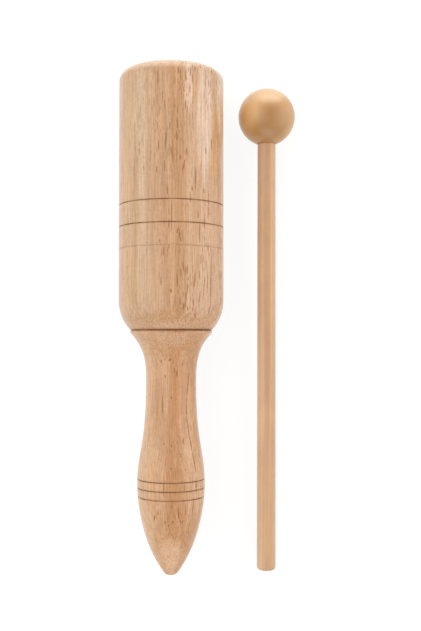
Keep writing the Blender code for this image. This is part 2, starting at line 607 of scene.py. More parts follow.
    def lacquer(self, shine: float, coat: float, coat_roughness: float) -> None:
        """Set the gloss of the wood and of the clear coat on it.

        Args:
            shine: Specular level of the wood.
            coat: Weight of the coat.
            coat_roughness: Roughness of the coat.
        """
        self.shader.inputs["Specular IOR Level"].default_value = shine
        self.shader.inputs["Coat Weight"].default_value = coat
        self.shader.inputs["Coat Roughness"].default_value = coat_roughness


@dataclass(frozen=True)
class LacqueredHardwood:
    """Pale open-pored hardwood under clear lacquer, with scorched lines where the wire burnt it.

    Bands are broad tones across the board, paler towards both sides: partly the wood's own tone
    and partly painted light where the side lamps fall. They sway a little along it and drift
    sideways with height. Stations, widths and heights are millimetres.
    """

    name: str
    axis: Axis
    bands: tuple[tuple[float, Colour], ...]
    patches: tuple[TonePatch, ...]
    marks: tuple[GrainMark, ...]
    grooves: tuple[Groove, ...]

    # Broad tones
    band_width: float = 52.0
    band_height: float = 20.0
    side_drift: float = 0.3
    sway: Grain = Grain(0.035, 0.012)
    sway_reach: float = 9.0
    wave_reach: float = 5.0
    patch_full: float = 0.8
    patch_side: Step = Step(3.0, 10.0)
    broad: Grain = Grain(0.42, 0.013, 3.0, 0.55)
    streak_step: Step = Step(0.50, 0.74, 0.0, 0.55)
    streak_colour: Colour = (0.49, 0.248, 0.108)
    pale_step: Step = Step(0.48, 0.26, 0.0, 0.55)
    pale_colour: Colour = (0.67, 0.44, 0.275)

    # End grain, and a painted highlight along the rim of an open end
    end_step: Step = Step(0.12, 0.60)
    end_share: float = 0.6
    end_colour: Colour = (0.61, 0.335, 0.160)
    rim_station: float = 0.0
    rim_highlight_width: float = 4.6
    rim_highlight_share: float = 0.0
    painted_rim_highlight: Colour = (0.88, 0.680, 0.490)

    # Fine grain and mottling
    fine: Grain = Grain(1.9, 0.055, 3.0, 0.6)
    fine_shade: Step = Step(0.28, 0.72, 0.80, 1.09)
    mottle: Grain = Grain(0.5, 0.9, 3.0, 0.6)
    mottle_shade: Step = Step(0.25, 0.75, 0.95, 1.05)

    # Pores, which crowd together in places and thin out to the left
    long_pores: Vessels = Vessels(0.95, 0.14, 0.40, 0.62)
    short_pores: Vessels = Vessels(1.7, 0.30, 0.40, 0.60)
    hair_lines: Vessels = Vessels(1.9, 0.050, 0.34, 0.55)
    specks: Vessels = Vessels(1.3, 0.55, 0.44, 0.62)
    crowding: Grain = Grain(0.12, 0.022)
    crowding_step: Step = Step(0.36, 0.62, 0.30, 1.0)
    crowding_side: Step = Step(-14.0, 8.0, 0.5, 1.0)
    pore_level: float = 1.0
    long_strength: float = 0.80
    short_strength: float = 0.70
    speck_strength: float = 0.50
    pore_colour: Colour = (0.285, 0.102, 0.020)

    # Marks listed one by one
    mark_wear: Grain = Grain(2.6, 0.7, 2.0, 0.6)
    mark_wear_step: Step = Step(0.28, 0.66, 0.35, 1.7)
    mark_edge: Step = Step(0.08, 0.75)
    mark_side: Step = Step(1.0, 4.0)
    mark_strength: float = 0.86

    # Burnt lines and the darkened seam
    scorch_colour: Colour = (0.185, 0.068, 0.020)
    burn_patches: Grain = Grain(0.22, 0.9, 3.0, 0.65)
    seam_step: Step = Step(0.15, 0.85, 0.68, 0.0)
    seam_side: Step = Step(-16.0, 4.0, 0.5, 1.0)
    seam_wear: Step = Step(0.28, 0.55, 0.6, 1.0)
    seam_halo: Step = Step(0.4, 1.3, 0.34, 0.0)
    line_edge: tuple[float, float] = (0.10, 0.38)
    line_wear: tuple[float, float] = (0.40, 0.58)
    line_halo: tuple[float, float] = (0.3, 1.0)
    halo_share: float = 0.16

    # Surface
    sheen: Grain = Grain(0.4, 0.08)
    sheen_step: Step = Step(0.2, 0.8, 0.32, 0.44)
    pore_dullness: float = 0.16
    scorch_dullness: float = 0.2
    ridges: Grain = Grain(3.2, 0.10)
    ridge_height: float = 0.006
    pore_depth: float = 0.020
    shine: float = 0.35
    coat: float = 0.5
    coat_roughness: float = 0.22

    def end_grain(self, bench: WoodBench) -> Socket:
        """Share of end grain: 0 on the long sides and 1 where the surface faces along the axis.

        Args:
            bench: Where the nodes are added.

        Returns:
            The share's socket.
        """
        facing = bench.add("ShaderNodeVectorMath")
        facing.operation = "DOT_PRODUCT"
        bench.plug(facing.inputs[0], bench.add("ShaderNodeTexCoord").outputs["Normal"])
        facing.inputs[1].default_value = self.axis.along
        return bench.fade(bench.distance(facing.outputs["Value"]), self.end_step)

    def timber(self, bench: WoodBench, ends: Socket) -> Socket:
        """Colour of the timber before its pores and burnt lines, with the painted highlight at an
        open rim and the painted side light in its bands.

        Args:
            bench: Where the nodes are added.
            ends: Share of end grain.

        Returns:
            The colour's socket.
        """
        sway = bench.noise(self.sway)
        lean = bench.times(bench.math("SUBTRACT", bench.z, self.band_height), self.side_drift)
        level = bench.plus(bench.plus(bench.x, lean), bench.times(sway, self.sway_reach))
        # The sway's mean is taken off, so that the bands stay centred on the axis
        middle = 0.5 - 0.5 * self.sway_reach / self.band_width
        # The bands hold painted side light as well as the wood's tones
        colour = bench.ramp(bench.times_plus(level, 1.0 / self.band_width, middle), self.bands)
        upper = bench.fade(bench.z, self.patch_side)
        colour = bench.patched(colour, self.patches, self.patch_full, upper)
        wavy = bench.join(bench.times_plus(sway, self.wave_reach, bench.x), bench.y, bench.z)
        broad = bench.noise(self.broad, wavy)
        colour = bench.blend(bench.fade(broad, self.streak_step), colour, self.streak_colour)
        colour = bench.blend(bench.fade(broad, self.pale_step), colour, self.pale_colour)
        colour = bench.blend(bench.times(ends, self.end_share), colour, self.end_colour)
        # Painted highlight: paler towards the rim of an open end, where the top lamp's light
        # catches it
        rim = Step(self.rim_station - self.rim_highlight_width, self.rim_station, 0.0, self.rim_highlight_share)
        colour = bench.blend(bench.fade(bench.y, rim), colour, self.painted_rim_highlight)
        fine = bench.fade(bench.noise(self.fine, wavy), self.fine_shade)
        mottle = bench.fade(bench.noise(self.mottle), self.mottle_shade)
        return bench.shaded(colour, bench.times(fine, mottle))

    def drawn_marks(self, bench: WoodBench) -> Socket:
        """The marks listed one by one on the upper side, with rough edges.

        Args:
            bench: Where the nodes are added.

        Returns:
            1 in the marks and 0 outside them.
        """
        total: Value = 0.0
        for mark in self.marks:
            place = (mark.across, mark.along)
            inside = bench.oval(place, (mark.half_width, mark.half_length), mark.lean)
            total = bench.larger(total, bench.times(inside, mark.strength))
        wear = bench.fade(bench.noise(self.mark_wear), self.mark_wear_step)
        marks = bench.fade(bench.times(total, wear), self.mark_edge)
        return bench.times(marks, bench.fade(bench.z, self.mark_side))

    def open_pores(self, bench: WoodBench, ends: Socket) -> Socket:
        """Everything that shows as a dark pore: scattered lines, end grain specks and marks.

        Args:
            bench: Where the nodes are added.
            ends: Share of end grain.

        Returns:
            Darkness of the pores, from 0 to 1.
        """
        crowded = bench.fade(bench.noise(self.crowding), self.crowding_step)
        crowded = bench.times(crowded, bench.fade(bench.x, self.crowding_side))
        crowded = bench.times(crowded, self.pore_level)
        faint = bench.larger(bench.vessels(self.short_pores), bench.vessels(self.hair_lines))
        faint = bench.times(bench.times(faint, crowded), self.short_strength)
        strong = bench.times(bench.vessels(self.long_pores), crowded)
        strong = bench.times(strong, self.long_strength)
        specks = bench.times(bench.times(bench.vessels(self.specks), ends), self.speck_strength)
        marks = bench.times(self.drawn_marks(bench), self.mark_strength)
        return bench.larger(bench.larger(faint, bench.larger(strong, specks)), marks)

    def burning(self, bench: WoodBench) -> tuple[Socket, Socket]:
        """Scorch of the burnt lines and of the seam, and the brown halo beside it.

        Args:
            bench: Where the nodes are added.

        Returns:
            The scorch and the halo, each from 0 to 1.
        """
        patches = bench.noise(self.burn_patches)
        from_seam = bench.distance(bench.y)
        seam = bench.fade(from_seam, self.seam_step)
        seam = bench.times(seam, bench.fade(bench.x, self.seam_side))
        scorch = bench.times(seam, bench.fade(patches, self.seam_wear))
        halo = bench.fade(from_seam, self.seam_halo)
        for groove in self.grooves:
            away = bench.distance(bench.y, groove.station * PER_METRE)
            wear = bench.fade(patches, Step(*self.line_wear, 1.0 - groove.patchiness, 1.0))
            line = bench.fade(away, Step(*self.line_edge, groove.darkness, 0.0))
            glow = bench.fade(away, Step(*self.line_halo, self.halo_share * groove.darkness, 0.0))
            scorch = bench.larger(scorch, bench.times(line, wear))
            halo = bench.larger(halo, bench.times(glow, wear))
        return scorch, halo

    def material(self) -> bpy.types.Material:
        """The finished material.

        Returns:
            The material.
        """
        bench = WoodBench(self.name, self.axis)
        ends = self.end_grain(bench)
        pores = self.open_pores(bench, ends)
        scorch, halo = self.burning(bench)
        colour = bench.blend(pores, self.timber(bench, ends), self.pore_colour)
        colour = bench.blend(halo, colour, self.pore_colour)
        colour = bench.blend(scorch, colour, self.scorch_colour)
        sheen = bench.fade(bench.noise(self.sheen), self.sheen_step)
        dull = bench.times_plus(pores, self.pore_dullness, sheen)
        dull = bench.times_plus(scorch, self.scorch_dullness, dull)
        ridges = bench.times(bench.noise(self.ridges), self.ridge_height)
        bench.finish(colour, dull, bench.times_plus(pores, -self.pore_depth, ridges))
        bench.lacquer(self.shine, self.coat, self.coat_roughness)
        return bench.material


@dataclass(frozen=True)
class DrilledWood:
    """Bare wood inside the sound chamber, with the rings that the drill bit left."""

    name: str
    axis: Axis
    light_colour: Colour = (0.56, 0.35, 0.20)
    dark_colour: Colour = (0.38, 0.20, 0.10)
    ring_pitch: float = 0.8
    ring_height: float = 0.012
    ring_shade: float = 0.03
    streaks: Grain = Grain(1.1, 0.03, 3.0, 0.6)
    streak_step: Step = Step(0.3, 0.7)
    fuzz: Grain = Grain(3.0, 1.2, 3.0, 0.6)
    fuzz_height: float = 0.05
    fuzz_shade: Step = Step(0.2, 0.8, 0.88, 1.06)
    fuzz_dullness: Step = Step(0.2, 0.8, 0.66, 0.84)
    pores: Vessels = Vessels(1.2, 0.2, 0.36, 0.5)
    pore_strength: float = 0.5

    def material(self) -> bpy.types.Material:
        """The finished material.

        Returns:
            The material.
        """
        bench = WoodBench(self.name, self.axis)
        squares = bench.plus(bench.math("POWER", bench.x, 2.0), bench.math("POWER", bench.z, 2.0))
        travel = bench.plus(bench.y, bench.math("SQRT", squares))
        rings = bench.math("SINE", bench.times(travel, math.tau / self.ring_pitch))
        fuzz = bench.noise(self.fuzz)
        streaks = bench.fade(bench.noise(self.streaks), self.streak_step)
        colour = bench.blend(streaks, self.light_colour, self.dark_colour)
        pores = bench.times(bench.vessels(self.pores), self.pore_strength)
        colour = bench.blend(pores, colour, self.dark_colour)
        shade = bench.times_plus(rings, self.ring_shade, bench.fade(fuzz, self.fuzz_shade))
        height = bench.times_plus(rings, self.ring_height, bench.times(fuzz, self.fuzz_height))
        bench.finish(bench.shaded(colour, shade), bench.fade(fuzz, self.fuzz_dullness), height)
        return bench.material


@dataclass(frozen=True)
class SatinBeaterWood:
    """Fine-grained wood of the beater, sanded smooth and sealed to a satin gloss.

    Each step in darkened reads millimetres along the axis and gives how much darker the wood is
    painted there: painted shade where the stick meets the ball, and darker towards the butt.
    """

    name: str
    axis: Axis
    light_colour: Colour
    dark_colour: Colour
    patches: tuple[TonePatch, ...]
    darkened: tuple[Step, ...]
    patch_full: float = 0.9
    streak_pitch: float = 1.6
    streak_reach: float = 0.02
    streak_detail: float = 4.0
    streak_roughness: float = 0.55
    streak_step: Step = Step(0.30, 0.72)
    clouds: Grain = Grain(0.09, 0.05)
    cloud_shade: Step = Step(0.25, 0.75, 0.93, 1.06)
    pores: Vessels = Vessels(1.5, 0.22, 0.30, 0.4)
    pore_strength: float = 0.22
    pore_colour: Colour = (0.30, 0.14, 0.055)
    dullness: Step = Step(0.2, 0.8, 0.37, 0.49)
    pore_depth: float = 0.010
    streak_height: float = 0.010
    shine: float = 0.25
    coat: float = 0.45
    coat_roughness: float = 0.32

    def material(self) -> bpy.types.Material:
        """The finished material.

        Returns:
            The material.
        """
        bench = WoodBench(self.name, self.axis)
        pitch = 1.0 / self.streak_pitch
        grain = Grain(pitch, self.streak_reach, self.streak_detail, self.streak_roughness)
        streaks = bench.noise(grain)
        streaky = bench.fade(streaks, self.streak_step)
        colour = bench.blend(streaky, self.light_colour, self.dark_colour)
        # On the beater these patches are painted light and shade
        colour = bench.patched(colour, self.patches, self.patch_full, 1.0)
        colour = bench.shaded(colour, bench.fade(bench.noise(self.clouds), self.cloud_shade))
        pores = bench.vessels(self.pores)
        colour = bench.blend(bench.times(pores, self.pore_strength), colour, self.pore_colour)
        # Darker along the axis, in the pore colour: painted shade where the stick meets the ball,
        # and darker towards the butt
        darkness: Value = 0.0
        for step in self.darkened:
            darkness = bench.larger(darkness, bench.fade(bench.y, step))
        colour = bench.blend(darkness, colour, self.pore_colour)
        height = bench.times_plus(pores, -self.pore_depth, bench.times(streaks, self.streak_height))
        bench.finish(colour, bench.fade(streaks, self.dullness), height)
        bench.lacquer(self.shine, self.coat, self.coat_roughness)
        return bench.material


def dress(piece: bpy.types.Object, body: Body, node: str) -> None:
    """Put a finished piece in its node's place.

    Args:
        piece: The finished piece.
        body: Body that it moves with.
        node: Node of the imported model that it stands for.
    """
    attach(piece, body.value)
    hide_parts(node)
    log.info("%s: %d faces on %s", piece.name, len(piece.data.polygons), body.value)


@dataclass
class ToneBlock:
    """The hollow barrel and the handle glued in its lower end."""

    # Seam, whose notched edges bend at these shares of the notch, inwards and along
    seam_radius: float = 17.5 * MM
    seam_notch: float = 0.35 * MM
    notch_bend: Point = (0.6, 0.25)
    seam_gap: float = 0.02 * MM

    # Barrel, whose straight side stays clear of the arcs at its ends by the run-out
    barrel_radius: float = 22.5 * MM
    barrel_length: float = 111.2 * MM
    mouth_rounding: float = 4.5 * MM
    shoulder_height: float = 12.7 * MM
    run_out: float = 1.0 * MM
    barrel_first_line: float = 34.4 * MM
    barrel_line_pitch: float = 9.4 * MM

    # Sound chamber, with the mark of the bit's centre in its floor
    chamber_wall: float = 6.5 * MM
    chamber_base: float = 31.2 * MM
    chamber_edge: float = 0.3 * MM
    chamber_corner: float = 0.6 * MM
    centre_mark_radius: float = 1.6 * MM
    centre_mark_depth: float = 1.4 * MM
    centre_mark_lip: float = 0.1 * MM
    face_tolerance: float = 0.1 * MM

    # Handle
    handle_length: float = 104.0 * MM
    collar_land: float = 0.9 * MM
    waist_from_seam: float = 22.4 * MM
    waist_radius: float = 10.75 * MM
    swell_from_tip: float = 38.4 * MM
    swell_radius: float = 14.45 * MM
    handle_first_line: float = 2.3 * MM
    handle_line_pitch: float = 3.7 * MM
    handle_lines: int = 3
    tip_flat_radius: float = 1.9 * MM
    tip_rounding: float = 1.0 * MM
    tip_half_angle: float = math.radians(37.6)

    # Shares of its length over which a curve of the handle holds its direction
    cove_hold: float = 1.0 / 3.0
    waist_hold: float = 0.616
    swell_hold_above: float = 0.32
    swell_hold_below: float = 0.23
    tip_hold: float = 0.32

    # Tenon, and the gap that the glue fills
    tenon_radius: float = 8.0 * MM
    tenon_length: float = 18.0 * MM
    tenon_chamfer: float = 1.0 * MM
    glue_gap: float = 0.3 * MM

    # Steps round the block, and along the parts of its outlines
    steps: int = 192
    mark_steps: int = 4
    floor_steps: int = 16
    edge_steps: int = 5
    wall_steps: int = 24
    mouth_steps: int = 18
    side_steps: int = 30
    shoulder_steps: int = 26
    curve_steps: int = 34
    tip_steps: int = 8
    axis: Axis = field(init=False)

    def __post_init__(self) -> None:
        """Find the seam's centre from the barrel's node."""
        low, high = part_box("barrel")
        self.axis = Axis(Vector(((low.x + high.x) / 2.0, low.y, (low.z + high.z) / 2.0)))

    def barrel_grooves(self) -> tuple[Groove, ...]:
        """The barrel's three burnt lines, of which the lowest is the faintest.

        Returns:
            The lines, lowest first.
        """
        low = self.barrel_first_line
        pitch = self.barrel_line_pitch
        return (
            Groove(low, darkness=0.36, patchiness=1.0, depth=0.08 * MM),
            Groove(low + pitch, darkness=0.86, patchiness=0.45),
            Groove(low + 2.0 * pitch, darkness=0.76, patchiness=0.55),
        )

    def handle_grooves(self) -> tuple[Groove, ...]:
        """The handle's burnt lines, which all look alike.

        Returns:
            The lines, highest first.
        """
        top = self.swell_from_tip - self.handle_length + self.handle_first_line
        pitch = self.handle_line_pitch
        return tuple(Groove(top - index * pitch) for index in range(self.handle_lines))

    def barrel_outline(self) -> Outline:
        """From the chamber's floor up its wall, over the mouth, down the outside, into the socket.

        Returns:
            The half outline.
        """
        bore = self.barrel_radius - self.chamber_wall
        floor = self.chamber_base
        corner = self.chamber_corner
        edge = self.chamber_edge
        top = self.barrel_length
        mark_top = (self.centre_mark_radius, floor)
        mark = straight((0.0, floor - self.centre_mark_depth), mark_top, self.mark_steps)
        ground_start = (self.centre_mark_radius + self.centre_mark_lip, floor)
        ground = straight(ground_start, (bore - corner, floor), self.floor_steps)
        bend = arc((bore - corner, floor + corner), corner, -math.pi / 2.0, 0.0, self.edge_steps)
        wall = straight((bore, floor + 2.0 * corner), (bore, top - edge), self.wall_steps)
        lip = arc((bore + edge, top - edge), edge, math.pi, math.pi / 2.0, self.edge_steps)
        mouth_centre = (self.barrel_radius - self.mouth_rounding, top - self.mouth_rounding)
        outside = arc(mouth_centre, self.mouth_rounding, math.pi / 2.0, 0.0, self.mouth_steps)
        side_top = (self.barrel_radius, top - self.mouth_rounding - self.run_out)
        side_foot = (self.barrel_radius, self.shoulder_height + self.run_out)
        outside += straight(side_top, side_foot, self.side_steps)
        outside += self.shoulder()
        for groove in self.barrel_grooves():
            outside = groove.cut(outside)
        socket_radius = self.tenon_radius + self.glue_gap
        socket_top = self.tenon_length + self.glue_gap
        inward, along = (share * self.seam_notch for share in self.notch_bend)
        base = [
            (self.seam_radius - inward, along),
            (self.seam_radius - self.seam_notch, 0.0),
            (socket_radius, 0.0),
            (socket_radius, socket_top),
            (0.0, socket_top),
        ]
        return mark + ground + bend + wall + lip + outside[1:] + base

    def shoulder(self) -> Outline:
        """The barrel's rounded lower end, down to the notch at the seam.

        Returns:
            The part of the outer outline.
        """
        inset = self.barrel_radius - self.seam_radius
        radius = (self.shoulder_height ** 2 + inset ** 2) / (2.0 * inset)
        angle = math.asin(self.shoulder_height / radius)
        centre = (self.barrel_radius - radius, self.shoulder_height)
        whole = arc(centre, radius, 0.0, -angle, self.shoulder_steps)
        above = [point for point in whole if point[1] > self.seam_notch]
        return above + [(radius_at(whole, self.seam_notch), self.seam_notch)]

    def handle_outline(self) -> Outline:
        """From the top of the tenon down it, out along the collar and down the grip to the tip.

        Returns:
            The half outline.
        """
        collar = -self.seam_gap
        notch = self.seam_notch
        inward, along = (share * notch for share in self.notch_bend)
        cove_top = -self.glue_gap - self.collar_land
        cove_pull = self.cove_hold * (self.waist_from_seam + cove_top)
        waist = (self.waist_radius, -self.waist_from_seam)
        swell = (self.swell_radius, self.swell_from_tip - self.handle_length)
        grip = waist[1] - swell[1]
        tip_centre = (self.tip_flat_radius, self.tip_rounding - self.handle_length)
        tip = arc(
            tip_centre, self.tip_rounding, -self.tip_half_angle, -math.pi / 2.0, self.tip_steps
        )
        ogive_length = swell[1] - tip[0][1]
        tip_pull = self.tip_hold * ogive_length
        tenon = [
            (0.0, self.tenon_length),
            (self.tenon_radius - self.tenon_chamfer, self.tenon_length),
            (self.tenon_radius, self.tenon_length - self.tenon_chamfer),
            (self.tenon_radius, collar),
            (self.seam_radius - notch, collar),
            (self.seam_radius - inward, collar - along),
            (self.seam_radius, collar - notch),
        ]
        cove = fair_curve(
            (self.seam_radius, cove_top),
            (self.waist_radius, cove_top - cove_pull),
            (self.waist_radius, waist[1] + cove_pull),
            waist,
            self.curve_steps,
        )
        shaft = fair_curve(
            waist,
            (self.waist_radius, waist[1] - self.waist_hold * grip),
            (self.swell_radius, swell[1] + self.swell_hold_above * grip),
            swell,
            self.curve_steps,
        )
        ogive = fair_curve(
            swell,
            (self.swell_radius, swell[1] - self.swell_hold_below * ogive_length),
            (tip[0][0] + tip_pull * math.tan(self.tip_half_angle), tip[0][1] + tip_pull),
            tip[0],
            self.curve_steps,
        )
        outside = cove + shaft[1:] + ogive[1:] + tip[1:]
        for groove in self.handle_grooves():
            outside = groove.cut(outside)
        return tenon + outside + [(0.0, -self.handle_length)]

    def barrel_finish(self) -> LacqueredHardwood:
        """Finish of the barrel's outside.

        Returns:
            The finish, with its bands of colour and its strongest grain marks.
        """
        return LacqueredHardwood(
            name="lacquered_barrel_wood",
            axis=self.axis,
            # Paler towards both sides: partly the wood's tone, partly painted light from the side
            # lamps
            bands=(
                (0.10, (0.66, 0.40, 0.215)),
                (0.22, (0.61, 0.385, 0.215)),
                (0.36, (0.57, 0.340, 0.180)),
                (0.46, (0.545, 0.295, 0.140)),
                (0.58, (0.535, 0.285, 0.135)),
                (0.68, (0.60, 0.345, 0.185)),
                (0.80, (0.63, 0.375, 0.210)),
                (0.92, (0.63, 0.365, 0.195)),
            ),
            # Across, along, half width, half length, colour and strength
            patches=(
                TonePatch(18.4, 76, 2.3, 20, (0.66, 0.345, 0.130), 0.85),
                TonePatch(14.6, 87, 3.8, 32, (0.78, 0.560, 0.400), 0.85),
                TonePatch(7.9, 100, 1.9, 14, (0.80, 0.560, 0.390), 0.80),
                TonePatch(10.9, 101, 1.6, 10, (0.54, 0.290, 0.120), 0.65),
                TonePatch(4.8, 101, 1.7, 13, (0.50, 0.262, 0.115), 0.55),
                TonePatch(-4.6, 98, 1.6, 16, (0.50, 0.270, 0.125), 0.50),
                TonePatch(-12.5, 80, 3.6, 36, (0.70, 0.490, 0.310), 0.65),
                TonePatch(2.5, 62, 5.0, 50, (0.52, 0.275, 0.125), 0.55),
                TonePatch(15.0, 26, 2.0, 24, (0.66, 0.385, 0.215), 0.45),
                TonePatch(10.9, 46, 2.4, 34, (0.52, 0.285, 0.130), 0.70),
                TonePatch(-5.8, 50, 2.6, 38, (0.52, 0.285, 0.130), 0.65),
                TonePatch(16.5, 54, 2.4, 22, (0.62, 0.345, 0.165), 0.45),
                TonePatch(-11.0, 30, 4.0, 26, (0.68, 0.450, 0.285), 0.50),
                TonePatch(21.0, 100, 2.2, 22, (0.82, 0.600, 0.420), 0.75),
                TonePatch(21.4, 22, 1.6, 24, (0.76, 0.500, 0.310), 0.50),
            ),
            # Across, along, half length, half width, lean and strength
            marks=tuple(GrainMark(*row) for row in (
                (-4.6, 103, 4.4, 0.42, 0.0, 0.8), (4.6, 104, 3.6, 0.40, 0.0, 0.6),
                (-2.6, 96, 3.2, 0.28, 0.0, 0.6), (3.4, 84.2, 2.8, 0.34),
                (-1.2, 77.4, 4.9, 0.40, 0.3), (-4.3, 75.2, 2.4, 0.36),
                (1.2, 72.5, 2.8, 0.30, 0.0, 0.8), (7.2, 72.7, 1.9, 0.34), (4.6, 70.2, 1.3, 0.38),
                (6.0, 66.9, 3.0, 0.44, 0.6), (-1.8, 66.6, 3.1, 0.45, 0.0, 0.85),
                (-5.0, 65.2, 1.7, 0.42), (10.8, 61.5, 5.6, 0.40), (8.7, 53.6, 2.6, 0.34),
                (9.4, 57.5, 1.6, 0.34), (-0.6, 57.0, 2.6, 0.30, 0.0, 0.7), (17.3, 77, 3.2, 0.30),
                (15.0, 74, 2.4, 0.32, 0.0, 0.8), (1.1, 46, 8.4, 0.25, 0.0, 0.8),
                (12.4, 40, 5.4, 0.28), (11.8, 47, 1.8, 0.34), (0.0, 42.5, 2.9),
                (4.4, 38.5, 3.6, 0.44, -0.6), (-2.2, 31.9, 2.7, 0.36),
                (-0.4, 31.4, 2.4, 0.26, 0.0, 0.7), (17.1, 21, 14.0, 0.27, 0.2),
                (16.3, 8.0, 3.4, 0.24, 0.9, 0.8), (15.6, 19, 9.0, 0.22, 0.3, 0.7),
                (14.2, 17, 6.4, 0.24, 0.5, 0.8), (3.4, 20, 3.4, 0.36),
                (10.5, 20.7, 4.8, 0.38, 0.3), (12.3, 22.4, 2.3, 0.30),
                (-3.2, 19.7, 2.6, 0.25, 0.0, 0.8), (6.0, 25, 1.0, 0.46), (0.9, 15.7, 1.0, 0.46),
                (6.9, 14, 1.9, 0.32), (4.6, 11.5, 2.0, 0.32, -0.2), (5.9, 9.5, 1.8, 0.34, -0.2),
                (10.6, 5.6, 1.7, 0.38), (12.4, 13, 3.2, 0.26, 0.3), (14.1, 57, 1.3, 0.3),
                (16.1, 52, 9.0, 0.22, 0.0, 0.7), (14.5, 44, 6.0, 0.22, 0.0, 0.6),
                (13.6, 28, 6.0, 0.2, 0.0, 0.6), (3.4, 40, 1.4, 0.3), (0.1, 33.7, 1.2, 0.34),
                (-3.8, 36, 1.0, 0.3), (-7.6, 72, 9.0, 0.24, 0.0, 0.6),
                (-12.4, 75, 5.0, 0.28, 0.0, 0.6), (-10.4, 66, 4.0, 0.28, 0.0, 0.6),
                (-14.6, 66, 4.4, 0.24, 0.0, 0.5), (-14.2, 76, 5.0, 0.2, 0.0, 0.5),
                (8.4, 87, 6.0, 0.22, 0.0, 0.5), (2.4, 92, 3.5, 0.3, 0.0, 0.6),
                (3.8, 106, 2.0, 0.3, 0.0, 0.8), (0.0, 48, 2.0, 0.26, 0.0, 0.8),
            )),
            grooves=self.barrel_grooves(),
            # The mouth's rim gets a painted highlight
            rim_station=self.barrel_length * PER_METRE,
            rim_highlight_share=0.88,
        )

    def handle_finish(self) -> LacqueredHardwood:
        """Finish of the handle.

        Returns:
            The finish, with its bands of colour and its strongest grain marks.
        """
        return LacqueredHardwood(
            name="lacquered_handle_wood",
            axis=self.axis,
            # Paler towards both sides: partly the wood's tone, partly painted light from the side
            # lamps
            bands=(
                (0.24, (0.73, 0.440, 0.240)),
                (0.37, (0.62, 0.335, 0.158)),
                (0.47, (0.54, 0.262, 0.108)),
                (0.56, (0.53, 0.252, 0.102)),
                (0.64, (0.58, 0.300, 0.135)),
                (0.74, (0.73, 0.440, 0.240)),
            ),
            # Across, along, half width, half length, colour and strength
            patches=(
                TonePatch(-8.2, -40, 2.0, 30, (0.69, 0.415, 0.225), 0.50),
                TonePatch(8.6, -38, 2.2, 26, (0.72, 0.420, 0.220), 0.60),
                TonePatch(11.8, -62, 2.4, 22, (0.76, 0.480, 0.275), 0.65),
                TonePatch(0.5, -97, 8.0, 12, (0.74, 0.445, 0.240), 0.95),
                TonePatch(-3.9, -36, 2.6, 24, (0.50, 0.245, 0.100), 0.80),
                TonePatch(-6.0, -67, 2.6, 20, (0.62, 0.330, 0.150), 0.50),
                TonePatch(0.5, -55, 3.6, 36, (0.50, 0.232, 0.090), 0.55),
            ),
            # Across, along, half length, half width, lean and strength
            marks=tuple(GrainMark(*row) for row in (
                (-3.2, -31.7, 4.8, 0.40), (-0.1, -12.5, 0.8, 0.5, 0.4), (-2.1, -12.4, 0.6, 0.34),
                (-3.7, -13.2, 1.0, 0.34), (-2.0, -19.4, 1.0, 0.34), (1.9, -16.9, 1.5, 0.38),
                (2.9, -18.2, 1.7, 0.44), (5.2, -14.4, 0.8, 0.34),
                (7.5, -22, 8.0, 0.28, 0.6, 0.85), (6.9, -33.5, 7.0, 0.28, -0.1, 0.9),
                (7.6, -41.5, 5.0, 0.34, -0.5), (8.6, -47.5, 4.4, 0.34, -0.8),
                (10.0, -55, 6.0, 0.28, -1.1, 0.85), (10.9, -65, 4.6, 0.46, 0.0, 0.7),
                (5.5, -46.3, 1.6, 0.42), (3.3, -46.6, 0.8, 0.34), (0.8, -48, 0.8, 0.34),
                (-2.4, -47.4, 0.7, 0.3), (4.4, -52, 0.9, 0.34), (0.6, -28.3, 0.7, 0.42),
                (0.6, -57.3, 0.5, 0.44), (6.6, -58, 0.6, 0.34), (-5.4, -34, 6.0, 0.2, 0.0, 0.5),
                (-2.4, -65.6, 3.9, 0.34), (6.1, -65, 3.6, 0.24, 0.0, 0.6),
                (6.6, -75, 3.0, 0.26, 0.3, 0.75), (9.6, -74, 5.0, 0.34, 0.5, 0.75),
                (7.9, -82, 2.4, 0.26, 0.4, 0.6), (-1.8, -79.6, 0.6, 0.44),
                (1.3, -79.3, 0.6, 0.44), (3.7, -75.8, 2.9, 0.38), (5.2, -79.7, 0.7, 0.40),
                (-6.3, -78, 1.5, 0.34, 0.3), (-4.8, -75.6, 1.1), (-0.4, -81, 0.7, 0.36),
                (0.8, -73, 0.8, 0.34),
            )),
            grooves=self.handle_grooves(),
            pore_level=0.55,
        )

    def line_chamber(self, barrel: bpy.types.Object) -> None:
        """Give the chamber's faces the bare wood.

        Args:
            barrel: The finished barrel.
        """
        barrel.data.materials.append(DrilledWood("drilled_chamber_wood", self.axis).material())
        widest = self.barrel_radius - self.chamber_wall + self.face_tolerance
        lowest = self.chamber_base - self.centre_mark_depth - self.face_tolerance
        for face in barrel.data.polygons:
            away = face.center - self.axis.origin
            if math.hypot(away.x, away.z) < widest and away.y > lowest:
                face.material_index = 1

    def build(self) -> None:
        """Turn the barrel and the handle, dress them and put them in their nodes' places."""
        lathe = Lathe(self.axis, self.steps)
        barrel = lathe.turn("barrel_turned", self.barrel_outline())
        barrel.data.materials.append(self.barrel_finish().material())
        self.line_chamber(barrel)
        dress(barrel, Body.BLOCK, "barrel")
        handle = lathe.turn("handle_turned", self.handle_outline())
        handle.data.materials.append(self.handle_finish().material())
        dress(handle, Body.BLOCK, "handle")


